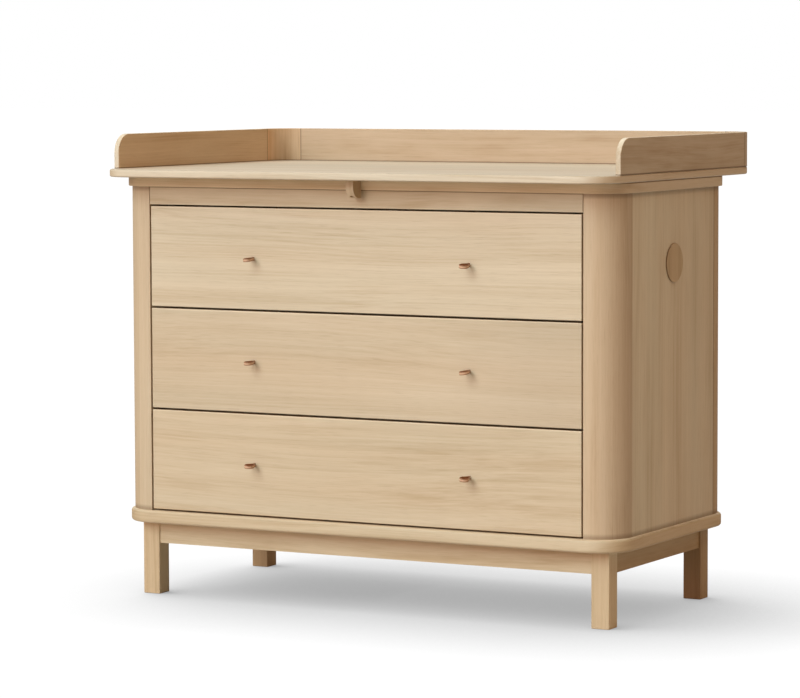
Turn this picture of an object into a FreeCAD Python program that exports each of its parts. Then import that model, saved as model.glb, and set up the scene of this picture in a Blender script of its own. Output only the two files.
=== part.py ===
import FreeCAD, Part
import os
from math import acos, atan2, cos, hypot, radians, sin

V = FreeCAD.Vector

# A nursery dresser in pale oak: three inset drawers with leather loop pulls, quarter-round corner
# posts, a low frame of square legs, and a changing top that lifts off.
# Millimetres, +X to the right, +Y to the back, +Z up, origin on the floor under the middle of the whole.

# Carcass
carcass_width = 1111.0
carcass_depth = 530.0
carcass_height = 657.5
corner_radius = 67.0
post_width = 70.75
post_depth = 69.0
stile_depth = 77.0
side_thickness = 20.0
back_thickness = 8.0
back_inset = 12.0
back_lap = 12.0
rail_height = 36.0
rail_thickness = 20.0
rail_gap = 1.2

# Slabs above and below the carcass
slab_thickness = 20.0
base_thickness = 26.0
slab_overhang = 7.5
slab_round = 1.2
base_round = 6.0

# Legs and aprons
leg_height = 150.0
leg_size = 38.0
leg_inset = 30.0
leg_round = 2.0
foot_round = 1.5
apron_height = 45.0
apron_thickness = 20.0
apron_setback = 4.0

# Wood joints
tenon_length = 12.0
tenon_thickness = 10.0
tenon_shoulder = 6.0
tongue_thickness = 8.0
tongue_length = 8.0
joint_clearance = 0.15
seam_round = 0.5

# Round wooden button let into each side panel and standing proud of it
inlay_back = 260.0
inlay_rise = 515.0
inlay_radius = 38.0
inlay_stand = 2.8
inlay_thickness = 7.0
inlay_round = 0.8

# Changing top
top_side_reach = 2.0
top_depth = 720.0
top_front_reach = 71.0
board_thickness = 15.5
board_front_radius = 70.0
board_rear_radius = 63.0
board_round = 3.5
rim_height = 69.5
rim_thickness = 11.0
rim_setback = 66.0
rim_nose_radius = 38.0
rim_round = 1.5

# Stop block under the front of the changing top
block_width = 17.0
block_depth = 31.0
block_height = 35.5
block_radius = 22.0
block_gap = 0.3
block_hole_inset = 12.0
block_screw_cover = 12.0

# Drawers
drawer_names = ["bottom", "middle", "top"]
drawer_gap = 3.5
front_thickness = 20.0
front_round = 1.2
box_side_thickness = 14.0
box_side_height = 150.0
box_side_rise = 12.0
box_side_round = 2.0
box_back_thickness = 14.0
box_bottom_thickness = 6.0
box_bottom_rise = 10.0
housing_depth = 6.0
box_rear_clearance = 40.0

# Telescopic runners of three nested steel profiles
runner_height = 45.0
runner_thickness = 12.7
runner_steel = 1.2
runner_lip = 3.0
runner_gap = 0.3
cabinet_rail_depth = 10.0
runner_front_gap = 0.5
batten_height = 52.0

# Leather loop pulls
pull_spread = 483.0
pull_reach = 32.0
pull_band = 6.5
pull_loop_width = 18.0
pull_leather = 2.0
pull_layer_gap = 0.4
pull_slot_clearance = 0.3
pull_tail = 22.0

# Screws and bolts
screw_radius = 2.0
screw_head_radius = 4.0
screw_head_height = 3.0
hole_clearance = 0.2
rim_screw_length = 40.0
stop_screw_length = 30.0
back_screw_length = 22.0
pull_screw_radius = 1.3
pull_screw_head_radius = 2.6
pull_screw_head_height = 2.0
pull_screw_length = 14.0
bolt_radius = 4.0
bolt_head_radius = 7.5
bolt_head_height = 6.0
bolt_length = 62.0
side_screw_shares = [0.12, 0.5, 0.88]
back_screw_shares = [0.1, 0.37, 0.63, 0.9]
panel_screw_shares = [0.06, 0.35, 0.65, 0.94]

# One overrun for every cut that runs out of a face
overrun = 5.0

# Planes that several pieces share
front_y = -top_depth / 2 + top_front_reach
rear_y = front_y + carcass_depth
back_y = rear_y - back_inset
half_width = carcass_width / 2
opening_half = half_width - post_width
side_inner = half_width - side_thickness
stile_front_y = rear_y - stile_depth
post_back_y = front_y + post_depth
base_top = leg_height + base_thickness
slab_bottom = base_top + carcass_height
slab_top = slab_bottom + slab_thickness
board_top = slab_top + board_thickness
rail_bottom = slab_bottom - rail_height
drawer_pitch = (rail_bottom - base_top - drawer_gap) / len(drawer_names)
front_height = drawer_pitch - drawer_gap
runner_length = back_y - back_thickness - box_rear_clearance - front_y - front_thickness
runner_front_y = front_y + front_thickness + runner_front_gap
box_half = opening_half - runner_thickness
box_inner = box_half - box_side_thickness
box_rear_y = front_y + front_thickness + runner_length
box_side_centre = box_side_rise + box_side_height / 2
top_half = half_width + slab_overhang + top_side_reach
top_front_y = -top_depth / 2
top_rear_y = top_depth / 2


# Basic shapes

def box(x0, x1, y0, y1, z0, z1):
    return Part.makeBox(x1 - x0, y1 - y0, z1 - z0, V(x0, y0, z0))


def upright(x, y, z0, z1, radius):
    return Part.makeCylinder(radius, z1 - z0, V(x, y, z0))


def across(x, y, z, length, radius, direction):
    return Part.makeCylinder(radius, length, V(x, y, z), direction)


def mirrored(shape):
    return shape.mirror(V(0, 0, 0), V(1, 0, 0))


def both_sides(shape):
    return [shape, mirrored(shape)]


def prism(points, along):
    outline = Part.makePolygon(points + points[:1])
    return Part.Face(outline).extrude(along)


def corner_arc(centre, radius, start, end):
    middle = radians((start + end) / 2)
    ends = [centre + V(cos(radians(a)), sin(radians(a)), 0) * radius for a in (start, end)]
    return Part.Arc(ends[0], centre + V(cos(middle), sin(middle), 0) * radius, ends[1]).toShape()


def line(a, b):
    return Part.makeLine(a, b)


def soften(shape, radius, chosen):
    edges = [edge for edge in shape.Edges if chosen(edge.CenterOfMass, edge)]
    return shape.makeFillet(radius, edges)


def near(a, b):
    return abs(a - b) < joint_clearance / 2


def is_upright(edge):
    low, high = edge.BoundBox.ZMin, edge.BoundBox.ZMax
    return high - low > edge.Length / 2


# Slabs: rectangles with rounded corners

def slab_outline(half, y0, y1, front_radius, rear_radius, z):
    front_x, rear_x = half - front_radius, half - rear_radius
    front_turn, rear_turn = y0 + front_radius, y1 - rear_radius
    return Part.Face(Part.Wire([
        line(V(-front_x, y0, z), V(front_x, y0, z)),
        corner_arc(V(front_x, front_turn, z), front_radius, -90, 0),
        line(V(half, front_turn, z), V(half, rear_turn, z)),
        corner_arc(V(rear_x, rear_turn, z), rear_radius, 0, 90),
        line(V(rear_x, y1, z), V(-rear_x, y1, z)),
        corner_arc(V(-rear_x, rear_turn, z), rear_radius, 90, 180),
        line(V(-half, rear_turn, z), V(-half, front_turn, z)),
        corner_arc(V(-front_x, front_turn, z), front_radius, 180, 270),
    ]))


def carcass_slab(z0, z1, edge_round):
    radius = corner_radius + slab_overhang
    outline = slab_outline(half_width + slab_overhang, front_y - slab_overhang, rear_y + slab_overhang,
                           radius, radius, z0)
    slab = outline.extrude(V(0, 0, z1 - z0))
    return soften(slab, edge_round, lambda mid, edge: not is_upright(edge))


# Carcass

def round_post(face_y, seam_y):
    """A post with a quarter-round corner, between its front or rear face and the seam to the side panel."""
    inward = 1 if seam_y > face_y else -1
    x0, x1 = opening_half, half_width
    turn_x, turn_y = x1 - corner_radius, face_y + inward * corner_radius
    edges = [
        line(V(x0, face_y, base_top), V(turn_x, face_y, base_top)),
        corner_arc(V(turn_x, turn_y, base_top), corner_radius, -90 * inward, 0),
        line(V(x1, turn_y, base_top), V(x1, seam_y, base_top)),
        line(V(x1, seam_y, base_top), V(x0, seam_y, base_top)),
        line(V(x0, seam_y, base_top), V(x0, face_y, base_top)),
    ]
    post = Part.Face(Part.Wire(edges)).extrude(V(0, 0, carcass_height))
    return soften(post, seam_round, lambda mid, edge: is_upright(edge) and (
        near(mid.x, x0) and near(mid.y, face_y) or near(mid.x, x1) and near(mid.y, seam_y)))


def corner_post():
    groove = side_tongue(post_back_y - tongue_length, post_back_y, joint_clearance)
    return cut_all(round_post(front_y, post_back_y), [groove, rail_tenon(joint_clearance)])


def side_tongue(y0, y1, spare):
    middle = half_width - side_thickness / 2
    reach = tongue_thickness / 2 + spare
    return box(middle - reach, middle + reach, y0 - spare, y1 + spare, base_top, slab_bottom)


def side_panel():
    panel = box(side_inner, half_width, post_back_y, stile_front_y, base_top, slab_bottom)
    panel = soften(panel, seam_round, lambda mid, edge: is_upright(edge) and near(mid.x, half_width))
    panel = panel.fuse(side_tongue(post_back_y - tongue_length, post_back_y, 0))
    panel = panel.fuse(side_tongue(stile_front_y, stile_front_y + tongue_length, 0)).removeSplitter()
    depth = inlay_thickness - inlay_stand
    pocket = across(half_width - depth, front_y + inlay_back, base_top + inlay_rise,
                    depth + overrun, inlay_radius, V(1, 0, 0))
    return panel.cut(pocket)


def side_inlay():
    face_x = half_width + inlay_stand
    disc = across(face_x - inlay_thickness, front_y + inlay_back, base_top + inlay_rise,
                  inlay_thickness, inlay_radius - joint_clearance, V(1, 0, 0))
    return soften(disc, inlay_round, lambda mid, edge: edge.Closed and near(mid.x, face_x))


def rear_stile():
    groove = side_tongue(stile_front_y, stile_front_y + tongue_length, joint_clearance)
    rebate = box(opening_half - overrun, opening_half + back_lap, back_y - back_thickness, rear_y + overrun,
                 base_top - overrun, slab_bottom + overrun)
    holes = [back_screw(z, hole_clearance) for z in back_screw_heights()]
    return cut_all(round_post(rear_y, stile_front_y), [groove, rebate] + holes)


def back_panel():
    reach = opening_half + back_lap - joint_clearance
    panel = box(-reach, reach, back_y - back_thickness, back_y, base_top, slab_bottom)
    holes = [back_screw(z, hole_clearance) for z in back_screw_heights()]
    return cut_all(panel, holes + [mirrored(hole) for hole in holes])


def back_screw_heights():
    return [base_top + share * carcass_height for share in panel_screw_shares]


def back_screw(z, spare):
    x = opening_half + back_lap / 2
    head = across(x, back_y, z, screw_head_height + spare, screw_head_radius + spare, V(0, -1, 0))
    return head.fuse(across(x, back_y, z, back_screw_length + spare, screw_radius + spare, V(0, -1, 0)))


def back_panel_screws():
    return [screw for z in back_screw_heights() for screw in both_sides(back_screw(z, 0))]


def rail_tenon(spare):
    middle = front_y + rail_thickness / 2
    reach = tenon_thickness / 2 + spare
    return box(opening_half - rail_gap, opening_half + tenon_length + spare, middle - reach, middle + reach,
               rail_bottom + tenon_shoulder - spare, slab_bottom - tenon_shoulder + spare)


def top_rail():
    reach = opening_half - rail_gap
    rail = box(-reach, reach, front_y, front_y + rail_thickness, rail_bottom, slab_bottom)
    rail = soften(rail, seam_round, lambda mid, edge: near(mid.y, front_y) and not near(mid.z, slab_bottom))
    return rail.fuse(both_sides(rail_tenon(0))).removeSplitter()


def runner_battens():
    battens = []
    for bottom in drawer_bottoms():
        middle = bottom + box_side_centre
        batten = box(opening_half, side_inner, post_back_y, stile_front_y,
                     middle - batten_height / 2, middle + batten_height / 2)
        battens += both_sides(batten)
    return battens


# Legs and aprons

leg_outer = half_width - leg_inset
leg_inner = leg_outer - leg_size
front_leg_y = front_y + leg_inset
rear_leg_y = rear_y - leg_inset - leg_size
front_apron_y = front_leg_y + apron_setback
rear_apron_y = rear_leg_y + leg_size - apron_setback - apron_thickness
apron_bottom = leg_height - apron_height


def leg(y0):
    post = box(leg_inner, leg_outer, y0, y0 + leg_size, 0, leg_height)
    post = soften(post, leg_round, lambda mid, edge: is_upright(edge))
    post = soften(post, foot_round, lambda mid, edge: near(mid.z, 0))
    return post.cut(leg_bolt(y0, hole_clearance))


def apron_across(y0):
    y1 = y0 + apron_thickness
    apron = box(-leg_inner, leg_inner, y0, y1, apron_bottom, leg_height)
    return apron.fuse(both_sides(across_tenon(y0, 0))).removeSplitter()


def across_tenon(y0, spare):
    middle = y0 + apron_thickness / 2
    reach = tenon_thickness / 2 + spare
    return box(leg_inner - spare, leg_inner + tenon_length + spare, middle - reach, middle + reach,
               apron_bottom + tenon_shoulder - spare, leg_height - tenon_shoulder + spare)


def side_tenon(y0, y1, spare):
    middle = leg_outer - apron_setback - apron_thickness / 2
    reach = tenon_thickness / 2 + spare
    return box(middle - reach, middle + reach, y0 - spare, y1 + spare,
               apron_bottom + tenon_shoulder - spare, leg_height - tenon_shoulder + spare)


def side_apron():
    y0, y1 = front_leg_y + leg_size, rear_leg_y
    x1 = leg_outer - apron_setback
    apron = box(x1 - apron_thickness, x1, y0, y1, apron_bottom, leg_height)
    tenons = [side_tenon(y0 - tenon_length, y0, 0), side_tenon(y1, y1 + tenon_length, 0)]
    return apron.fuse(tenons).removeSplitter()


def leg_bolt(y0, spare):
    x, y = (leg_inner + leg_outer) / 2, y0 + leg_size / 2
    head = upright(x, y, base_top - bolt_head_height - spare, base_top, bolt_head_radius + spare)
    return head.fuse(upright(x, y, base_top - bolt_length - spare, base_top, bolt_radius + spare))


def front_leg():
    y1 = front_leg_y + leg_size
    mortises = [across_tenon(front_apron_y, joint_clearance),
                side_tenon(y1 - tenon_length, y1, joint_clearance)]
    return cut_all(leg(front_leg_y), mortises)


def rear_leg():
    mortises = [across_tenon(rear_apron_y, joint_clearance),
                side_tenon(rear_leg_y, rear_leg_y + tenon_length, joint_clearance)]
    return cut_all(leg(rear_leg_y), mortises)


def leg_bolts():
    return [bolt for y0 in (front_leg_y, rear_leg_y) for bolt in both_sides(leg_bolt(y0, 0))]


def base_panel():
    holes = [hole for y0 in (front_leg_y, rear_leg_y) for hole in both_sides(leg_bolt(y0, hole_clearance))]
    return cut_all(carcass_slab(leg_height, base_top, base_round), holes)


def cut_all(shape, tools):
    for tool in tools:
        shape = shape.cut(tool)
    return shape


# Telescopic runners. A profile is drawn as (distance from the cabinet face, height from the middle).

def channel_outline(start, end, half, lip):
    upper = [(end, half - lip), (end, half), (start, half)]
    inner = [(start + runner_steel, half - runner_steel), (end - runner_steel, half - runner_steel),
             (end - runner_steel, half - lip)]
    lower = [(s, -z) for s, z in reversed(upper)]
    return upper + lower + [(s, -z) for s, z in reversed(inner)] + inner


def cabinet_outline():
    return channel_outline(0, cabinet_rail_depth, runner_height / 2, runner_lip)


def middle_outline():
    step = runner_steel + runner_gap
    return channel_outline(step, cabinet_rail_depth - step, runner_height / 2 - step, runner_lip)


def drawer_outline():
    step = runner_steel + runner_gap
    wall = runner_height / 2 - step - runner_lip - runner_gap
    foot_back = cabinet_rail_depth - 2 * step
    foot_front = foot_back - runner_steel
    foot = runner_height / 2 - 2 * step
    upper = [(runner_thickness, wall), (foot_back, wall), (foot_back, foot), (foot_front, foot),
             (foot_front, wall - runner_steel), (runner_thickness - runner_steel, wall - runner_steel)]
    return upper + [(s, -z) for s, z in reversed(upper)]


def rails(outline, bottom):
    middle = bottom + box_side_centre
    points = [V(opening_half - s, runner_front_y, middle + z) for s, z in outline]
    return both_sides(prism(points, V(0, runner_length, 0)))


def cabinet_rails():
    return [rail for bottom in drawer_bottoms() for rail in rails(cabinet_outline(), bottom)]


# Drawers

def drawer_bottoms():
    return [base_top + drawer_gap + drawer_pitch * i for i in range(len(drawer_names))]


def drawer_side(bottom, spare=0):
    y0 = front_y + front_thickness - housing_depth
    z0 = bottom + box_side_rise
    return box(box_inner - spare, box_half + spare, y0 - spare, box_rear_y, z0 - spare,
               z0 + box_side_height + spare)


def drawer_floor(bottom, spare=0):
    reach = box_inner + housing_depth - joint_clearance + spare
    y0 = front_y + front_thickness - housing_depth + joint_clearance - spare
    z0 = bottom + box_side_rise + box_bottom_rise
    return box(-reach, reach, y0, box_rear_y + spare, z0 - spare, z0 + box_bottom_thickness + spare)


def drawer_back(bottom, spare=0):
    reach = box_inner + housing_depth - joint_clearance + spare
    z0 = bottom + box_side_rise + box_bottom_rise + box_bottom_thickness
    z1 = bottom + box_side_rise + box_side_height
    y0 = box_rear_y - box_back_thickness
    return box(-reach, reach, y0 - spare, box_rear_y + spare, z0 - spare, z1 + spare)


def drawer_front(bottom):
    half = opening_half - drawer_gap
    front = box(-half, half, front_y, front_y + front_thickness, bottom, bottom + front_height)
    front = soften(front, front_round, lambda mid, edge: near(mid.y, front_y))
    housings = both_sides(drawer_side(bottom, joint_clearance)) + [drawer_floor(bottom, joint_clearance)]
    slots = [pull_slot(x, bottom) for x in pull_places()]
    return cut_all(front, housings + slots + pull_screws(bottom, hole_clearance))


def finished_side(bottom):
    side = drawer_side(bottom)
    top = bottom + box_side_rise + box_side_height
    start = front_y + front_thickness
    lip = box(box_inner - overrun, box_half + overrun, start, box_rear_y, top - box_side_round, top)
    middle = (start + box_rear_y) / 2
    rounded = box(box_inner, box_half, start, box_rear_y, bottom + box_side_rise, top)
    rounded = soften(rounded, box_side_round, lambda mid, edge: near(mid.z, top) and near(mid.y, middle))
    side = side.cut(lip).fuse(rounded).removeSplitter()
    return cut_all(side, [drawer_floor(bottom, joint_clearance), drawer_back(bottom, joint_clearance)])


# Leather pulls: a strap on edge bent into a drop-shaped loop, both ends through a slot and screwed behind

def pull_places():
    return [-pull_spread / 2, pull_spread / 2]


def pull_height(bottom):
    return bottom + front_height / 2


def pull_slot(x, bottom):
    reach = pull_layer_gap / 2 + pull_leather + pull_slot_clearance
    rise = pull_band / 2 + pull_slot_clearance
    z = pull_height(bottom)
    behind = front_y + front_thickness
    return box(x - reach, x + reach, front_y - overrun, behind + overrun, z - rise, z + rise)


def loop_side(exit_half, radius, centre_y):
    """Where a strand that leaves the slot at exit_half from its middle meets the round nose."""
    reach = front_y - centre_y
    turn = atan2(exit_half, reach) + acos(radius / hypot(reach, exit_half))
    return radius * sin(turn), centre_y + radius * cos(turn)


def loop_face(exit_half, radius, centre_y, x, z):
    touch_x, touch_y = loop_side(exit_half, radius, centre_y)
    right, left = V(x + touch_x, touch_y, z), V(x - touch_x, touch_y, z)
    nose = Part.Arc(right, V(x, centre_y - radius, z), left).toShape()
    right_end, left_end = V(x + exit_half, front_y, z), V(x - exit_half, front_y, z)
    edges = [line(right_end, right), nose, line(left, left_end), line(left_end, right_end)]
    return Part.Face(Part.Wire(edges))


def pull(x, bottom):
    z0 = pull_height(bottom) - pull_band / 2
    z1 = z0 + pull_band
    inner, outer = pull_layer_gap / 2, pull_layer_gap / 2 + pull_leather
    radius = pull_loop_width / 2
    centre_y = front_y - pull_reach + radius
    rise = V(0, 0, pull_band)
    loop = loop_face(outer, radius, centre_y, x, z0).extrude(rise)
    loop = loop.cut(loop_face(inner, radius - pull_leather, centre_y, x, z0).extrude(rise))
    behind = front_y + front_thickness
    seat = behind + pull_leather
    strands = []
    for low, high in ((inner, outer), (-outer, -inner)):
        strands.append(box(x + low, x + high, front_y, seat, z0, z1))
    strands.append(box(x + inner, x + outer + pull_tail, behind, seat, z0, z1))
    strands.append(box(x - outer - pull_tail, x - inner, behind, seat, z0, z1))
    strap = loop.fuse(strands).removeSplitter()
    return cut_all(strap, [pull_screw(place, bottom, hole_clearance) for place in pull_screw_places(x)])


def pull_screw_places(x):
    middle = pull_layer_gap / 2 + pull_leather + pull_tail / 2
    return [x - middle, x + middle]


def pull_screw(x, bottom, spare):
    z = pull_height(bottom)
    seat = front_y + front_thickness + pull_leather
    length = pull_screw_length + spare
    shank = across(x, seat, z, length, pull_screw_radius + spare, V(0, -1, 0))
    head = across(x, seat, z, pull_screw_head_height, pull_screw_head_radius, V(0, 1, 0))
    return shank.fuse(head)


def pull_screws(bottom, spare=0):
    places = [place for x in pull_places() for place in pull_screw_places(x)]
    return [pull_screw(place, bottom, spare) for place in places]


# Changing top

rim_front_y = top_front_y + rim_setback
rim_corner_y = top_rear_y - board_rear_radius
rim_corner_x = top_half - board_rear_radius
rim_top = board_top + rim_height


def changing_board():
    outline = slab_outline(top_half, top_front_y, top_rear_y, board_front_radius, board_rear_radius,
                           slab_top)
    board = outline.extrude(V(0, 0, board_thickness))
    board = soften(board, board_round, lambda mid, edge: not is_upright(edge))
    return cut_all(board, rim_holes() + [stop_screw(hole_clearance)])


def rim_side():
    x0, x1, x_mid = top_half - rim_thickness, top_half, top_half - rim_thickness / 2
    shoulder = V(x0, rim_front_y, rim_top - rim_nose_radius)
    crown = V(x0, rim_front_y + rim_nose_radius, rim_top)
    centre = V(x0, rim_front_y + rim_nose_radius, rim_top - rim_nose_radius)
    middle = centre + V(0, -sin(radians(45)), sin(radians(45))) * rim_nose_radius
    edges = [
        line(V(x0, rim_front_y, board_top), shoulder),
        Part.Arc(shoulder, middle, crown).toShape(),
        line(crown, V(x0, rim_corner_y, rim_top)),
        line(V(x0, rim_corner_y, rim_top), V(x0, rim_corner_y, board_top)),
        line(V(x0, rim_corner_y, board_top), V(x0, rim_front_y, board_top)),
    ]
    rim = Part.Face(Part.Wire(edges)).extrude(V(x1 - x0, 0, 0))
    rim = soften(rim, rim_round, lambda mid, edge: not near(mid.x, x_mid) and not near(mid.z, board_top)
                 and not near(mid.y, rim_corner_y))
    return cut_all(rim, rim_holes())


def rim_back():
    y_mid = top_rear_y - rim_thickness / 2
    rim = box(-rim_corner_x, rim_corner_x, top_rear_y - rim_thickness, top_rear_y, board_top, rim_top)
    rim = soften(rim, rim_round, lambda mid, edge: near(mid.z, rim_top) and not near(mid.y, y_mid))
    return cut_all(rim, rim_holes())


def rim_corner():
    centre = V(rim_corner_x, rim_corner_y, board_top)
    inner_radius = board_rear_radius - rim_thickness
    edges = [
        corner_arc(centre, board_rear_radius, 0, 90),
        line(centre + V(0, board_rear_radius, 0), centre + V(0, inner_radius, 0)),
        corner_arc(centre, inner_radius, 90, 0),
        line(centre + V(inner_radius, 0, 0), centre + V(board_rear_radius, 0, 0)),
    ]
    rim = Part.Face(Part.Wire(edges)).extrude(V(0, 0, rim_height))
    rim = soften(rim, rim_round, lambda mid, edge: near(mid.z, rim_top)
                 and not near(mid.x, rim_corner_x) and not near(mid.y, rim_corner_y))
    return cut_all(rim, rim_holes())


def rim_screw_places():
    side_x = top_half - rim_thickness / 2
    back_y = top_rear_y - rim_thickness / 2
    places = []
    for share in side_screw_shares:
        y = rim_front_y + share * (rim_corner_y - rim_front_y)
        places += [(side_x, y), (-side_x, y)]
    for share in back_screw_shares:
        places.append((rim_corner_x * (2 * share - 1), back_y))
    reach = (board_rear_radius - rim_thickness / 2) * sin(radians(45))
    places += [(rim_corner_x + reach, rim_corner_y + reach), (-rim_corner_x - reach, rim_corner_y + reach)]
    return places


def rim_holes():
    return [rim_screw(x, y, hole_clearance) for x, y in rim_screw_places()]


def rim_screw(x, y, spare):
    head = upright(x, y, slab_top, slab_top + screw_head_height + spare, screw_head_radius + spare)
    return head.fuse(upright(x, y, slab_top, slab_top + rim_screw_length + spare, screw_radius + spare))


block_back_y = front_y - slab_overhang - block_gap
block_front_y = block_back_y - block_depth
block_bottom = slab_top - block_height


def stop_block():
    x0 = -block_width / 2
    centre = V(x0, block_front_y + block_radius, block_bottom + block_radius)
    middle = centre + V(0, -sin(radians(45)), -sin(radians(45))) * block_radius
    shoulder, heel = V(x0, block_front_y, centre.z), V(x0, centre.y, block_bottom)
    edges = [
        line(V(x0, block_front_y, slab_top), shoulder),
        Part.Arc(shoulder, middle, heel).toShape(),
        line(heel, V(x0, block_back_y, block_bottom)),
        line(V(x0, block_back_y, block_bottom), V(x0, block_back_y, slab_top)),
        line(V(x0, block_back_y, slab_top), V(x0, block_front_y, slab_top)),
    ]
    block = Part.Face(Part.Wire(edges)).extrude(V(block_width, 0, 0))
    block = soften(block, seam_round, lambda mid, edge: not near(mid.x, 0) and not near(mid.z, slab_top))
    return block.cut(stop_screw(hole_clearance))


def stop_screw(spare):
    y = block_front_y + block_hole_inset
    seat = block_bottom + block_screw_cover
    start = block_bottom - overrun if spare else seat
    head = upright(0, y, start, seat + screw_head_height, screw_head_radius + spare)
    return head.fuse(upright(0, y, seat, seat + stop_screw_length + spare, screw_radius + spare))


def changing_top_screws():
    return [rim_screw(x, y, 0) for x, y in rim_screw_places()] + [stop_screw(0)]


# Every piece under its name

def save(name, shapes):
    shape = shapes if hasattr(shapes, "exportStep") else Part.makeCompound(shapes)
    shape.exportStep("parts/" + name + ".step")


def save_pair(name, shape):
    save(name + "_right", shape)
    save(name + "_left", mirrored(shape))


def save_carcass():
    save("base_panel", base_panel())
    save("dresser_top", carcass_slab(slab_bottom, slab_top, slab_round))
    save_pair("side_panel", side_panel())
    save_pair("corner_post", corner_post())
    save_pair("rear_stile", rear_stile())
    save_pair("side_inlay", side_inlay())
    save("top_rail", top_rail())
    save("back_panel", back_panel())
    save("back_panel_screws", back_panel_screws())
    save("runner_battens", runner_battens())
    save("cabinet_rails", cabinet_rails())
    save_pair("leg_front", front_leg())
    save_pair("leg_rear", rear_leg())
    save("apron_front", apron_across(front_apron_y))
    save("apron_rear", apron_across(rear_apron_y))
    save_pair("apron_side", side_apron())
    save("leg_bolts", leg_bolts())


def save_drawer(name, bottom):
    save("drawer_front_" + name, drawer_front(bottom))
    side = finished_side(bottom)
    save("drawer_side_right_" + name, side)
    save("drawer_side_left_" + name, mirrored(side))
    save("drawer_back_" + name, drawer_back(bottom))
    save("drawer_floor_" + name, drawer_floor(bottom))
    save("drawer_rails_" + name, rails(drawer_outline(), bottom))
    save("middle_rails_" + name, rails(middle_outline(), bottom))
    save("pulls_" + name, [pull(x, bottom) for x in pull_places()])
    save("pull_screws_" + name, pull_screws(bottom))


def save_changing_top():
    save("changing_board", changing_board())
    save_pair("rim", rim_side())
    save("rim_back", rim_back())
    save_pair("rim_corner", rim_corner())
    save("stop_block", stop_block())
    save("changing_top_screws", changing_top_screws())


os.makedirs("parts", exist_ok=True)
save_carcass()
for drawer_name, drawer_bottom in zip(drawer_names, drawer_bottoms()):
    save_drawer(drawer_name, drawer_bottom)
save_changing_top()
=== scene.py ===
import bmesh
import bpy
import random
from math import cos, pi, radians, sin
from mathutils import Euler, Matrix, Vector


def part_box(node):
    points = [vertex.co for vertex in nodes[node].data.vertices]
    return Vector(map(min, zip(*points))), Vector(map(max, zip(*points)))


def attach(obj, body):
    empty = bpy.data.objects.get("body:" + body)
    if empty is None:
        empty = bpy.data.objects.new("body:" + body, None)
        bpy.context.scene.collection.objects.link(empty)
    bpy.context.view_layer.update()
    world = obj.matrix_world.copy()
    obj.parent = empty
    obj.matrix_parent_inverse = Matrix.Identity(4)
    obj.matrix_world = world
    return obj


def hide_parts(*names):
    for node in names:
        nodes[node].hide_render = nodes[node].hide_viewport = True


# The looks of an oak nursery dresser: procedural oak with the grain of each piece, leather loop
# pulls, plated steel runners and screws, a white studio floor and the camera of the photograph.
# Lengths are in metres, angles in degrees, and display colours go from 0 to 255.

# Camera, with lens and sensor in millimetres
camera_place = (3.393, -6.360, 1.087)
camera_turn = 28.55
camera_pitch = 4.649
camera_roll = -0.195
camera_lens = 160.23
sensor_width = 36.0

# Suns: azimuth from the front towards the right, elevation, angular size, strength, colour
suns = {
    "key": (-13, 31, 34, 2.22, (0.76, 0.93, 1.0)),
    "low_front": (-15, 8, 30, 0.87, (1.0, 0.65, 0.57)),
    "overhead": (-110, 80, 100, 2.38, (0.95, 1.0, 0.93)),
    "right": (100, 35, 60, 0.52, (1.0, 0.45, 0.13)),
    "behind": (205, 28, 60, 0.55, (1.0, 0.94, 0.87)),
}

# Surroundings: the weak fill that lights the object, and the white backdrop that is seen
fill_colour = (1.0, 0.97, 0.93)
fill_strength = 0.01
backdrop_strength = 1.0

# Floor: the colour it bounces; as the camera sees it, a glow with painted shade near the object:
# how bright it looks in full shade and in the open, how far, how steeply and to which side the
# painted shade spreads; and its faint cloudiness
floor_size = 120.0
floor_bounce = (0.50, 0.46, 0.42)
floor_shade = 0.325
floor_white = 1.05
floor_reach = 0.48
floor_fall = 1.4
floor_lean = (-0.58, 0.0, 0.81)
floor_samples = 16
floor_cloud_scale = (0.4, 0.4, 0.4)
floor_cloud_low = 0.99

# Oak: display colours of the light, middle and dark wood at their places on the scale of darkness,
# of the open pores, and the shares that make the wood warmer or cooler
oak_stops = ((0.2, (216, 194, 165)), (0.5, (206, 182, 151)), (0.8, (186, 157, 122)))
oak_pore = (146, 112, 78)
oak_warm = (1.06, 0.99, 0.95)
oak_cool = (0.94, 1.01, 1.05)
oak_roughness = (0.46, 0.62)
oak_specular = 0.35

# Bumps of the materials: strength and height
oak_bump = (0.2, 0.0003)
steel_bump = (0.1, 0.0001)
leather_bump = (0.35, 0.0002)

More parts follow.
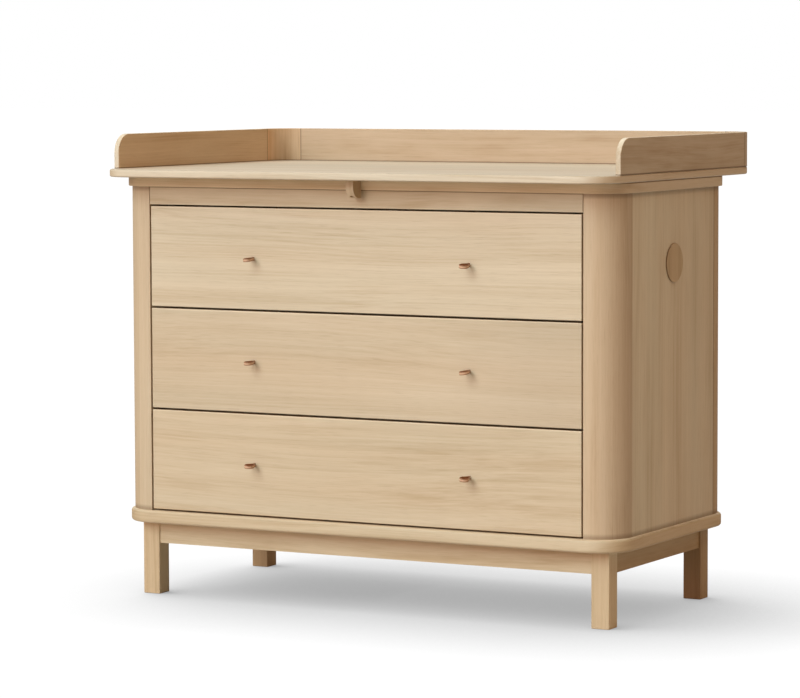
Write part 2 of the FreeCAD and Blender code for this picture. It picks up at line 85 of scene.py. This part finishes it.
# How each kind of oak differs from these colours, as shares of red, green and blue. Beside the
# wood's own differences, many are lit and shaded copies of the oak, lighter or darker where more
# or less light falls on a piece or face: painted light and painted shade
oak_tints = {
    "front": (0.985, 0.985, 0.98),
    "top_front": (1.05, 1.08, 1.12),
    "middle_front": (0.96, 0.955, 0.955),
    # The top and bottom faces of the drawer fronts: painted shade of the drawer gaps
    "front_edge": (0.93, 0.84, 0.72),
    # The rail: darker, partly painted shade under the overhang of the board
    "rail": (0.92, 0.935, 0.93),
    "side": (1.015, 1.04, 1.045),
    "post": (0.92, 0.88, 0.85),
    "right_post": (0.945, 0.885, 0.845),
    # Side faces of the right corner post: darker, painted shade
    "right_post_side": (0.81, 0.755, 0.715),
    "slab": (1.12, 1.10, 1.04),
    "base": (1.02, 1.01, 0.985),
    "leg": (0.965, 0.895, 0.80),
    # Side faces of the front legs: lighter, painted light
    "leg_side": (1.10, 1.075, 0.985),
    # Rear legs: darker, painted shade under the dresser
    "rear_leg": (0.67, 0.555, 0.415),
    "apron": (0.98, 0.95, 0.89),
    # Side aprons and the ends of the base: darker, painted shade
    "side_apron": (0.765, 0.66, 0.505),
    "base_side": (0.87, 0.80, 0.70),
    "board": (1.10, 1.17, 1.29),
    "board_top": (0.852, 0.881, 0.971),
    "rim": (0.875, 0.82, 0.785),
    # Rim side faces: darker on the right, painted shade; lighter on the left, painted light
    "right_rim": (0.80, 0.745, 0.71),
    "left_rim": (1.075, 1.04, 0.995),
    # Left rim corner: lighter at the left rim, darker towards the back, painted light and shade
    "left_corner": (1.17, 1.055, 0.95),
    "left_corner_back": (0.94, 0.80, 0.68),
    "right_corner": (0.74, 0.67, 0.61),
    # The rear stile: darker and warmer, partly painted shade at the rear
    "stile": (0.72, 0.61, 0.485),
    "inlay": (0.765, 0.665, 0.535),
    # Walls of the side inlay's disc: dark, painted shade
    "inlay_wall": (0.42, 0.33, 0.26),
    "inner": (1.08, 1.10, 1.12),
}

# Lines along the ends of a piece: width, strength and display colour. The fine line is dark at a
# flush joint, partly painted shade in the seam. The soft line is painted shade under an overhang
# and where a piece stands on the base. The pale line on top edges is a painted highlight where the
# edge catches the light. The broad line darkens a wide band towards one end. The gap line is
# painted shade of a drawer gap on the edge above it. The dull line is painted shade on an edge
# that catches less light. A line has its full strength over the width divided by line_fade
line_kinds = {
    "fine": (0.0026, 0.70, (84, 52, 28)),
    "soft": (0.0110, 0.42, (84, 52, 28)),
    "worn": (0.0032, 0.60, (236, 214, 184)),
    "broad": (0.30, 0.09, (84, 52, 28)),
    "gap": (0.0018, 0.75, (40, 20, 6)),
    "dull": (0.0070, 0.10, (84, 52, 28)),
}
line_fade = 3

# How square a face is to an axis, from 0 to 1: where its other tone begins and is full, below which
# a slab's edge counts as upright, and from which an end face stays free of lines
tone_begins = 0.3
tone_full = 0.8
upright_below = 0.5
end_face_from = 0.9

# Noises of the oak: scale along the grain and across it, detail, roughness. All noises vary about
# the same middle
oak_noises = {
    "sway": (1.1, 4.0, 1.0, 0.55),
    "lines": (0.45, 75.0, 4.0, 0.6),
    "fibre": (1.5, 310.0, 2.0, 0.55),
    "streak": (0.7, 20.0, 2.0, 0.55),
    "cloud": (1.2, 3.5, 2.0, 0.55),
    "figure": (6.0, 28.0, 2.0, 0.55),
    "pores": (24.0, 1500.0, 1.0, 0.55),
    "hue": (0.8, 9.0, 2.0, 0.55),
}
noise_middle = 0.5

# How far the grain sways, how far apart the pieces are cut from the wood, the noise at which a pore
# begins and is full, the share of pores in the palest lines, how much a pore shows, and how much
# the fibres stand out
sway_reach = 0.06
cut_reach = 3.0
pore_begins = 0.60
pore_full = 0.70
pore_least = 0.1
pore_strength = 0.4
fibre_relief = 0.5

# How much lines, fibres, streaks, clouds and figure darken each kind of grain, and the pieces that
# have it, by the start of their name. All others are plain
grain_weights = {
    "plain": (0.58, 0.40, 0.40, 0.42, 0.0),
    "bold": (0.40, 0.40, 0.65, 0.42, 0.20),
    "figured": (0.58, 0.40, 0.40, 0.42, 0.60),
}
grain_kinds = {
    "bold": ("side_panel", "corner_post", "rear_stile", "back_panel"),
    "figured": ("rim", "top_rail", "dresser_top", "side_inlay", "apron", "stop_block"),
}

# Turns in radians that lay the grain of each axis along X, and the slabs whose edges have their own
grain_turns = {"X": (0, 0, 0), "Y": (0, 0, -pi / 2), "Z": (0, pi / 2, 0)}
edge_banded = ("dresser_top", "base_panel", "changing_board")

# Oak pieces by the start of their name, the first that fits: grain axis, tone, other tones of some
# faces, most of them painted light and shade, and lines at some ends
oak_pieces = [
    ("drawer_front_top", "X", "top_front", "z:front_edge", "worn:+z gap:-z"),
    ("drawer_front_middle", "X", "middle_front", "z:front_edge", "worn:+z broad:+x gap:-z"),
    ("drawer_front", "X", "front", "z:front_edge", "worn:+z"),
    ("drawer_side", "Y", "inner", "", "worn:+z"),
    ("drawer_back", "X", "inner", "", "worn:+z"),
    ("drawer_floor", "X", "inner", "", ""),
    ("runner_battens", "Y", "inner", "", ""),
    ("top_rail", "X", "rail", "", "broad:+x fine:-x fine:+x fine:+z"),
    ("dresser_top", "X", "slab", "x:post", "fine:+z"),
    ("base_panel", "X", "base", "x:base_side", "dull:+z"),
    ("back_panel", "Z", "side", "", ""),
    ("corner_post_left", "Z", "post", "", "soft:-z soft:+z"),
    ("corner_post_right", "Z", "right_post", "x:right_post_side", "soft:-z soft:+z"),
    ("side_panel", "Z", "side", "", "broad:+y soft:-z soft:+z"),
    ("rear_stile", "Z", "stile", "", "fine:-y soft:-z soft:+z"),
    ("side_inlay", "Z", "inlay_wall", "x:inlay", ""),
    ("leg_front", "Z", "leg", "x:leg_side", "fine:+z"),
    ("leg_rear", "Z", "rear_leg", "", "fine:+z"),
    ("apron_front", "X", "apron", "", "fine:-x fine:+x fine:+z"),
    ("apron_rear", "X", "apron", "", "fine:-x fine:+x fine:+z"),
    ("apron_side", "Y", "side_apron", "", "fine:-y fine:+y fine:+z"),
    ("changing_board", "X", "board", "x:post z:board_top", ""),
    ("rim_corner_left", "Z", "left_corner", "y:left_corner_back", "fine:-z"),
    ("rim_corner_right", "Z", "right_corner", "", "fine:-z"),
    ("rim_back", "X", "rim", "", "fine:-x fine:+x fine:-z"),
    ("rim_left", "Y", "board", "x:left_rim", "fine:+y fine:-z"),
    ("rim_right", "Y", "board", "x:right_rim", "fine:+y fine:-z"),
    ("stop_block", "Z", "post", "x:stile", ""),
]

# Plated steel: display colours, the share of the darker spangles, noise scales and roughness
rail_colour = (196, 198, 200)
screw_colour = (184, 184, 182)
steel_shade = 0.82
steel_brush = (900.0, 12.0, 900.0)
steel_spangle = (60.0, 60.0, 60.0)
steel_detail = 2.0
steel_roughness = (0.28, 0.46)

# Leather: display colours of its light and dark mottling, of the inner side, painted shade inside
# the loop, and of the edges, dark and partly painted shade; scales of its cells and mottling,
# roughness and shine
leather_light = (220, 178, 146)
leather_dark = (196, 150, 118)
leather_inner_shade = (146, 90, 56)
leather_edge = (148, 98, 64)
leather_cells = 1400.0
leather_mottle = (240.0, 240.0, 240.0)
leather_roughness = (0.38, 0.58)
leather_specular = 0.4

# Leather pulls: the strap and its loop, the handles of the loop's swell as shares of its length,
# and the steps of each stretch of the strap
strap_thickness = 0.0020
strap_layer_gap = 0.0004
strap_edge_radius = 0.0007
# How far the dark edge colour reaches onto the strap's faces, partly painted shade along its edges
strap_edge_wrap = 0.0015
strap_tail = 0.022
strap_bend_share = 0.75
loop_width = 0.018
swell_handles = (0.35, 0.5)
strap_steps = {"tail": 6, "turn": 5, "slot": 4, "swell": 14, "tip": 8, "edge": 4}

# How the left and right loops hang: droop of the nose, roll, which is full from a share of the
# reach on, and share of the loop's width
pull_hang = {
    "top": ((0.0015, -2.0, 0.85), (0.0028, 7.0, 1.0)),
    "middle": ((0.0012, 2.0, 0.90), (0.0016, -5.0, 0.95)),
    "bottom": ((0.0014, 5.0, 1.0), (0.0020, 8.0, 1.0)),
}
roll_full = 0.5

# Marks on the strap that its leather reads: dark edges, partly painted shade; inner side, painted
# shade inside the loop; outer side
edge_mark = (1.0, 0.0, 0.0, 1.0)
inner_mark = (0.0, 1.0, 0.0, 1.0)
outer_mark = (0.0, 0.0, 0.0, 1.0)

# Sockets of a Mix node by its kind of data: first input, second input, output
mix_sockets = {"RGBA": (6, 7, 2), "VECTOR": (4, 5, 1)}

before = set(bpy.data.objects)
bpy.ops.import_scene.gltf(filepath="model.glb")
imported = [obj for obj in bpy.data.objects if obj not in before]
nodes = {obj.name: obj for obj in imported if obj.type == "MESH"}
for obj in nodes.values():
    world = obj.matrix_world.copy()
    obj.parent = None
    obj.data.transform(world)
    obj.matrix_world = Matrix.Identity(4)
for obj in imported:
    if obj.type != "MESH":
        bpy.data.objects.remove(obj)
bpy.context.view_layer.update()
scene = bpy.context.scene


# Colour, node and mesh helpers

def linear(display, tint=(1.0, 1.0, 1.0)):
    """A display colour as the linear colour that shaders take, by the sRGB curve, times a tint."""
    parts = [value / 255 for value in display]
    curve = [p / 12.92 if p <= 0.04045 else ((p + 0.055) / 1.055) ** 2.4 for p in parts]
    return (*[c * t for c, t in zip(curve, tint)], 1.0)


def grey(level):
    return (level, level, level, 1.0)


class Tree:
    """A material's nodes. Most calls add nodes, set or link their inputs and return an output."""

    def __init__(self, name):
        self.material = bpy.data.materials.new(name)
        self.material.use_nodes = True
        self.tree = self.material.node_tree
        self.shader = self.tree.nodes["Principled BSDF"]

    def add(self, kind, inputs, output=0, **settings):
        node = self.tree.nodes.new("ShaderNode" + kind)
        for key, value in settings.items():
            setattr(node, key, value)
        self.set(node, inputs)
        return node.outputs[output]

    def set(self, node, inputs):
        for key, value in inputs.items():
            if isinstance(value, bpy.types.NodeSocket):
                self.tree.links.new(value, node.inputs[key])
            else:
                node.inputs[key].default_value = value

    def math(self, operation, a, b=0.0):
        return self.add("Math", {0: a, 1: b}, operation=operation)

    def vector(self, operation, a, b):
        return self.add("VectorMath", {0: a, 1: b}, operation=operation)

    def position(self):
        return self.add("TexCoord", {}, output="Object")

    def squareness(self, axis):
        """How square a face is to an axis, from 0 to 1."""
        normal = self.add("TexCoord", {}, output="Normal")
        return self.math("ABSOLUTE", self.add("SeparateXYZ", {0: normal}, output=axis))

    def noise(self, vector, factors, detail=3.0, roughness=0.55):
        return self.add("TexNoise", {"Vector": self.vector("MULTIPLY", vector, factors),
                                     "Scale": 1.0, "Detail": detail, "Roughness": roughness})

    def ramp(self, value, stops):
        node = self.tree.nodes.new("ShaderNodeValToRGB")
        self.tree.links.new(value, node.inputs[0])
        ramp = node.color_ramp
        while len(ramp.elements) < len(stops):
            ramp.elements.new(0.5)
        for element, (place, colour) in zip(ramp.elements, stops):
            element.position = place
            element.color = colour
        return node.outputs[0]

    def mix(self, factor, a, b, kind="RGBA"):
        first, second, output = mix_sockets[kind]
        return self.add("Mix", {0: factor, first: a, second: b}, output=output, data_type=kind)

    def span(self, value, low, high):
        return self.add("MapRange", {"Value": value, "To Min": low, "To Max": high})

    def bump(self, height, strength, distance):
        return self.add("Bump", {"Height": height, "Strength": strength, "Distance": distance})

    def weighted(self, parts):
        """The middle of a noise plus each part's departure from it times its weight."""
        total = noise_middle
        for part, weight in parts:
            departure = self.math("SUBTRACT", part, noise_middle)
            total = self.math("ADD", self.math("MULTIPLY", departure, weight), total)
        return total


def new_object(name, mesh, material):
    """A linked object from a finished bmesh, with one material."""
    data = bpy.data.meshes.new(name)
    mesh.to_mesh(data)
    mesh.free()
    obj = bpy.data.objects.new(name, data)
    scene.collection.objects.link(obj)
    dress(obj, material)
    return obj


def dress(obj, material):
    obj.data.materials.clear()
    obj.data.materials.append(material)


# Oak

def edge_space(wood, local, space):
    """On the upright edges of a slab the grain runs along the edge, all round the corners."""
    upright = wood.math("LESS_THAN", wood.squareness(2), upright_below)
    place = wood.add("SeparateXYZ", {0: local}).node.outputs
    along = wood.math("ADD", place[0], place[1])
    return wood.mix(upright, space, wood.add("CombineXYZ", {0: along, 1: place[2]}), "VECTOR")


def oak_noise(wood, space, name):
    along, across, detail, roughness = oak_noises[name]
    return wood.noise(space, (along, across, across), detail, roughness)


def oak_pattern(wood, space, weights):
    """How dark the wood is about the middle of its scale, its open pores, and its fibres."""
    sway = oak_noise(wood, space, "sway")
    drift = wood.math("MULTIPLY", wood.math("SUBTRACT", sway, noise_middle), sway_reach)
    swayed = wood.vector("ADD", space, wood.add("CombineXYZ", {1: drift, 2: drift}))
    lines = oak_noise(wood, swayed, "lines")
    fibre = oak_noise(wood, swayed, "fibre")
    streak = oak_noise(wood, swayed, "streak")
    cloud = oak_noise(wood, space, "cloud")
    figure = oak_noise(wood, swayed, "figure")
    dark = wood.weighted(zip((lines, fibre, streak, cloud, figure), weights))
    pores = oak_noise(wood, space, "pores")
    pores = wood.ramp(pores, [(pore_begins, grey(0)), (pore_full, grey(1))])
    pores = wood.math("MULTIPLY", pores, wood.span(lines, pore_least, 1.0))
    return dark, pores, fibre


def near_end(wood, position, low, high, end, width, strength):
    """The strength at an end of the piece's box, such as -z, falling to 0 at the width from it."""
    axis = "xyz".index(end[1])
    place = wood.add("SeparateXYZ", {0: position}, output=axis)
    limit = (high if end[0] == "+" else low)[axis]
    away = wood.math("ABSOLUTE", wood.math("SUBTRACT", place, limit))
    near = wood.add("MapRange", {"Value": away, "From Min": width, "From Max": width / line_fade,
                                 "To Max": strength})
    across = wood.math("LESS_THAN", wood.squareness(axis), end_face_from)
    return wood.math("MULTIPLY", near, across)


def oak_colour(wood, dark, pores, tone):
    tint = oak_tints[tone]
    plain = wood.ramp(dark, [(place, linear(colour, tint)) for place, colour in oak_stops])
    return wood.mix(wood.math("MULTIPLY", pores, pore_strength), plain, linear(oak_pore, tint))


def grain_kind(node):
    for kind, names in grain_kinds.items():
        if node.startswith(names):
            return kind
    return "plain"


def oak(node, axis, tone, face_tones, lines, seed):
    """Oak with grain along an axis, other tones on faces square to an axis, most of them
    painted light and shade, and lines at ends, among them painted shade and painted highlights.
    """
    wood = Tree("oak_" + node)
    draw = random.Random(seed)
    low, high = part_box(node)
    cut = Vector([draw.uniform(-cut_reach, cut_reach) for _ in range(3)])
    position = wood.position()
    local = wood.vector("ADD", position, cut - (low + high) / 2)
    space = wood.add("Mapping", {"Vector": local, "Rotation": grain_turns[axis]})
    if node in edge_banded:
        space = edge_space(wood, local, space)
    dark, pores, fibre = oak_pattern(wood, space, grain_weights[grain_kind(node)])
    colour = oak_colour(wood, dark, pores, tone)
    # Other tones on faces square to an axis, most of them painted light and shade
    for face_tone in face_tones.split():
        square, other = face_tone.split(":")
        facing = wood.add("MapRange", {"Value": wood.squareness("xyz".index(square)),
                                       "From Min": tone_begins, "From Max": tone_full})
        colour = wood.mix(facing, colour, oak_colour(wood, dark, pores, other))
    hue = wood.mix(oak_noise(wood, space, "hue"), (*oak_warm, 1.0), (*oak_cool, 1.0))
    colour = wood.vector("MULTIPLY", colour, hue)
    # Lines at the ends: dark joints, painted shade and painted highlights
    for line in lines.split():
        kind, end = line.split(":")
        width, strength, shade = line_kinds[kind]
        near = near_end(wood, position, low, high, end, width, strength)
        colour = wood.mix(near, colour, linear(shade))
    relief = wood.math("SUBTRACT", wood.math("MULTIPLY", fibre, fibre_relief), pores)
    wood.set(wood.shader, {"Base Color": colour, "Roughness": wood.span(fibre, *oak_roughness),
                           "Normal": wood.bump(relief, *oak_bump),
                           "Specular IOR Level": oak_specular})
    return wood.material


# Metal and leather

def plated_steel(name, colour):
    steel = Tree(name)
    position = steel.position()
    brushed = steel.noise(position, steel_brush, steel_detail)
    spangle = steel.noise(position, steel_spangle, steel_detail)
    tint = steel.mix(spangle, linear(colour), linear([c * steel_shade for c in colour]))
    steel.set(steel.shader, {"Base Color": tint, "Metallic": 1.0,
                             "Roughness": steel.span(brushed, *steel_roughness),
                             "Normal": steel.bump(brushed, *steel_bump)})
    return steel.material


def leather():
    hide = Tree("cognac_leather")
    position = hide.position()
    cells = hide.add("TexVoronoi", {"Vector": position, "Scale": leather_cells})
    mottle = hide.noise(position, leather_mottle)
    tint = hide.mix(mottle, linear(leather_light), linear(leather_dark))
    marks = hide.add("VertexColor", {}, layer_name="part")
    part = hide.add("SeparateColor", {0: marks}).node.outputs
    # Dark edges, partly painted shade, and the inner side, painted shade inside the loop
    tint = hide.mix(part[0], tint, linear(leather_edge))
    tint = hide.mix(part[1], tint, linear(leather_inner_shade))
    hide.set(hide.shader, {"Base Color": tint, "Roughness": hide.span(mottle, *leather_roughness),
                           "Normal": hide.bump(cells, *leather_bump),
                           "Specular IOR Level": leather_specular})
    return hide.material


def dress_cad():
    rails = plated_steel("zinc_plated_runner", rail_colour)
    screws = plated_steel("zinc_plated_screw", screw_colour)
    for seed, name in enumerate(sorted(nodes)):
        if "screws" in name or "bolts" in name:
            dress(nodes[name], screws)
            continue
        found = [row for row in oak_pieces if name.startswith(row[0])]
        if found:
            dress(nodes[name], oak(name, *found[0][1:], seed))
        elif "rails" in name:
            dress(nodes[name], rails)


# Leather pulls: a strap on edge, bent into a drop-shaped loop, both ends through a slot and folded
# behind

def arc(centre, radius, start, end, steps):
    """Points of a flat arc, its angles from the first axis."""
    turns = [radians(start + (end - start) * i / steps) for i in range(steps + 1)]
    return [Vector((centre[0] + radius * cos(t), centre[1] + radius * sin(t))) for t in turns]


def run(a, b, steps):
    """Points of a straight run, without its end."""
    return [a.lerp(b, i / steps) for i in range(steps)]


def bezier(a, b, c, d, steps):
    points = []
    for i in range(steps + 1):
        t = i / steps
        s = 1 - t
        points.append(a * s ** 3 + b * 3 * s * s * t + c * 3 * s * t * t + d * t ** 3)
    return points


def half_path(reach, behind, width):
    """Half of the strap's middle line from above, tail to nose: (out from the front, aside)."""
    layer = (strap_layer_gap + strap_thickness) / 2
    bend = strap_thickness * strap_bend_share
    radius = (width - strap_thickness) / 2
    nose = reach - width / 2
    tail_end = layer + strap_thickness / 2 + strap_tail
    tail_start = Vector((-behind, tail_end))
    tail = run(tail_start, Vector((-behind, layer + bend)), strap_steps["tail"])
    turn = arc((bend - behind, layer + bend), bend, 180, 270, strap_steps["turn"])
    root = Vector((0, layer))
    slot = run(Vector((bend - behind, layer)), root, strap_steps["slot"])[1:]
    leave, arrive = swell_handles
    swell = bezier(root, Vector((nose * leave, layer)), Vector((nose * arrive, radius)),
                   Vector((nose, radius)), strap_steps["swell"])
    tip = arc((nose, 0), radius, 90, 0, strap_steps["tip"])
    return tail + turn + slot + swell + tip[1:]


def strap_section(band):
    """Closed outline of the strap's cross-section: (upward, outward through its thickness)."""
    upward = band / 2 - strap_edge_radius
    thick = strap_thickness / 2 - strap_edge_radius
    plain = band / 2 - strap_edge_wrap
    steps = strap_steps["edge"]
    outline = []
    for up, through, start in ((1, 1, 0), (-1, 1, 90), (-1, -1, 180), (1, -1, 270)):
        centre = (up * upward, through * thick)
        corner = arc(centre, strap_edge_radius, start, start + 90, steps)
        inset = Vector((up * plain, through * strap_thickness / 2))
        outline += corner + [inset] if up == through else [inset] + corner
    return outline


def strap_part(a, b, band):
    """The mark of the face between two points of the section."""
    if abs(a.x + b.x) / 2 > band / 2 - strap_edge_wrap:
        return edge_mark
    if a.y + b.y < 0:
        return inner_mark
    return outer_mark


def hung(out, aside, up, reach, droop, roll):
    """A point of the loop after the loop has sagged and turned about the way it points."""
    share = max(out, 0) / reach
    turn = radians(roll) * min(share / roll_full, 1)
    sideways = aside * cos(turn) + up * sin(turn)
    height = up * cos(turn) - aside * sin(turn) - droop * share ** 2
    return Vector((sideways, -out, height))


def make_pull(name, place, reach, behind, band, hang, hide):
    droop, roll, width_share = hang
    right = half_path(reach, behind, loop_width * width_share)
    path = right + [Vector((p.x, -p.y)) for p in reversed(right[:-1])]
    section = strap_section(band)
    mesh = bmesh.new()
    part_layer = mesh.loops.layers.color.new("part")
    rings = []
    for i, p in enumerate(path):
        ahead = path[min(i + 1, len(path) - 1)] - path[max(i - 1, 0)]
        side = Vector((-ahead.y, ahead.x)).normalized()
        points = [hung(p.x + side.x * t, p.y + side.y * t, u, reach, droop, roll)
                  for u, t in section]
        rings.append([mesh.verts.new(place + point) for point in points])
    for first, second in zip(rings, rings[1:]):
        for j in range(len(section)):
            k = (j + 1) % len(section)
            face = mesh.faces.new((first[j], first[k], second[k], second[j]))
            for loop in face.loops:
                loop[part_layer] = strap_part(section[j], section[k], band)
    mesh.faces.new(rings[0])
    mesh.faces.new(list(reversed(rings[-1])))
    bmesh.ops.recalc_face_normals(mesh, faces=mesh.faces)
    pull = new_object(name, mesh, hide)
    pull.data.shade_smooth()
    return pull


def make_pulls():
    hide = leather()
    half = strap_layer_gap / 2 + strap_thickness + strap_tail
    for level, hangs in pull_hang.items():
        node = "pulls_" + level
        low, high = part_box(node)
        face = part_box("drawer_front_" + level)[0].y
        reach = face - low.y
        behind = high.y - strap_thickness / 2 - face
        for side, x, hang in zip(("left", "right"), (low.x + half, high.x - half), hangs):
            name = "leather_pull_%s_%s" % (side, level)
            place = Vector((x, face, (low.z + high.z) / 2))
            pull = make_pull(name, place, reach, behind, high.z - low.z, hang, hide)
            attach(pull, "drawer_" + level)
            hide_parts(node)


# Studio

def make_floor():
    """A floor whose bounce is warm, and which to the camera glows white, with a painted shade near
    the object.
    """
    white = Tree("studio_floor")
    bounce = white.add("BsdfDiffuse", {"Color": (*floor_bounce, 1.0)})
    lean = white.add("CombineXYZ", dict(enumerate(floor_lean)))
    free = white.add("AmbientOcclusion", {"Distance": floor_reach, "Normal": lean}, output="AO",
                     samples=floor_samples)
    free = white.math("POWER", free, floor_fall)
    cloud = white.span(white.noise(white.position(), floor_cloud_scale), floor_cloud_low, 1.0)
    level = white.math("MULTIPLY", white.span(free, floor_shade, floor_white), cloud)
    colour = white.add("CombineColor", {0: level, 1: level, 2: level})
    # Seen by the camera the floor glows, with painted shade where the object hides its sky
    look = white.add("Emission", {"Color": colour})
    seen = white.add("LightPath", {}, output="Is Camera Ray")
    both = white.add("MixShader", {0: seen, 1: bounce, 2: look})
    white.set(white.tree.nodes["Material Output"], {"Surface": both})
    white.tree.nodes.remove(white.shader)
    mesh = bmesh.new()
    bmesh.ops.create_grid(mesh, x_segments=2, y_segments=2, size=floor_size / 2)
    floor = new_object("floor", mesh, white.material)


def make_sun(name, azimuth, elevation, size, strength, colour):
    light = bpy.data.lights.new(name, "SUN")
    light.energy = strength
    light.color = colour
    light.angle = radians(size)
    turn, rise = radians(azimuth), radians(elevation)
    direction = Vector((sin(turn) * cos(rise), -cos(turn) * cos(rise), sin(rise)))
    sun = bpy.data.objects.new(name, light)
    sun.rotation_euler = direction.to_track_quat("Z", "Y").to_euler()
    scene.collection.objects.link(sun)


def make_world():
    world = bpy.data.worlds.new("studio")
    scene.world = world
    world.use_nodes = True
    tree = world.node_tree
    fill = tree.nodes["Background"]
    fill.inputs["Color"].default_value = (*fill_colour, 1.0)
    fill.inputs["Strength"].default_value = fill_strength
    white = tree.nodes.new("ShaderNodeBackground")
    white.inputs["Color"].default_value = grey(1.0)
    white.inputs["Strength"].default_value = backdrop_strength
    path = tree.nodes.new("ShaderNodeLightPath")
    both = tree.nodes.new("ShaderNodeMixShader")
    tree.links.new(path.outputs["Is Camera Ray"], both.inputs[0])
    tree.links.new(fill.outputs[0], both.inputs[1])
    tree.links.new(white.outputs[0], both.inputs[2])
    tree.links.new(both.outputs[0], tree.nodes["World Output"].inputs["Surface"])


def make_camera():
    data = bpy.data.cameras.new("camera")
    data.sensor_width = sensor_width
    data.lens = camera_lens
    data.clip_end = floor_size
    camera = bpy.data.objects.new("camera", data)
    aim = Euler((pi / 2 - radians(camera_pitch), 0, radians(camera_turn))).to_matrix()
    aim = aim @ Matrix.Rotation(radians(camera_roll), 3, "Z")
    camera.matrix_world = Matrix.Translation(camera_place) @ aim.to_4x4()
    scene.collection.objects.link(camera)
    scene.camera = camera


def make_studio():
    make_floor()
    for name, values in suns.items():
        make_sun(name, *values)
    make_world()
    make_camera()
    scene.view_settings.view_transform = "Standard"


dress_cad()
make_pulls()
make_studio()
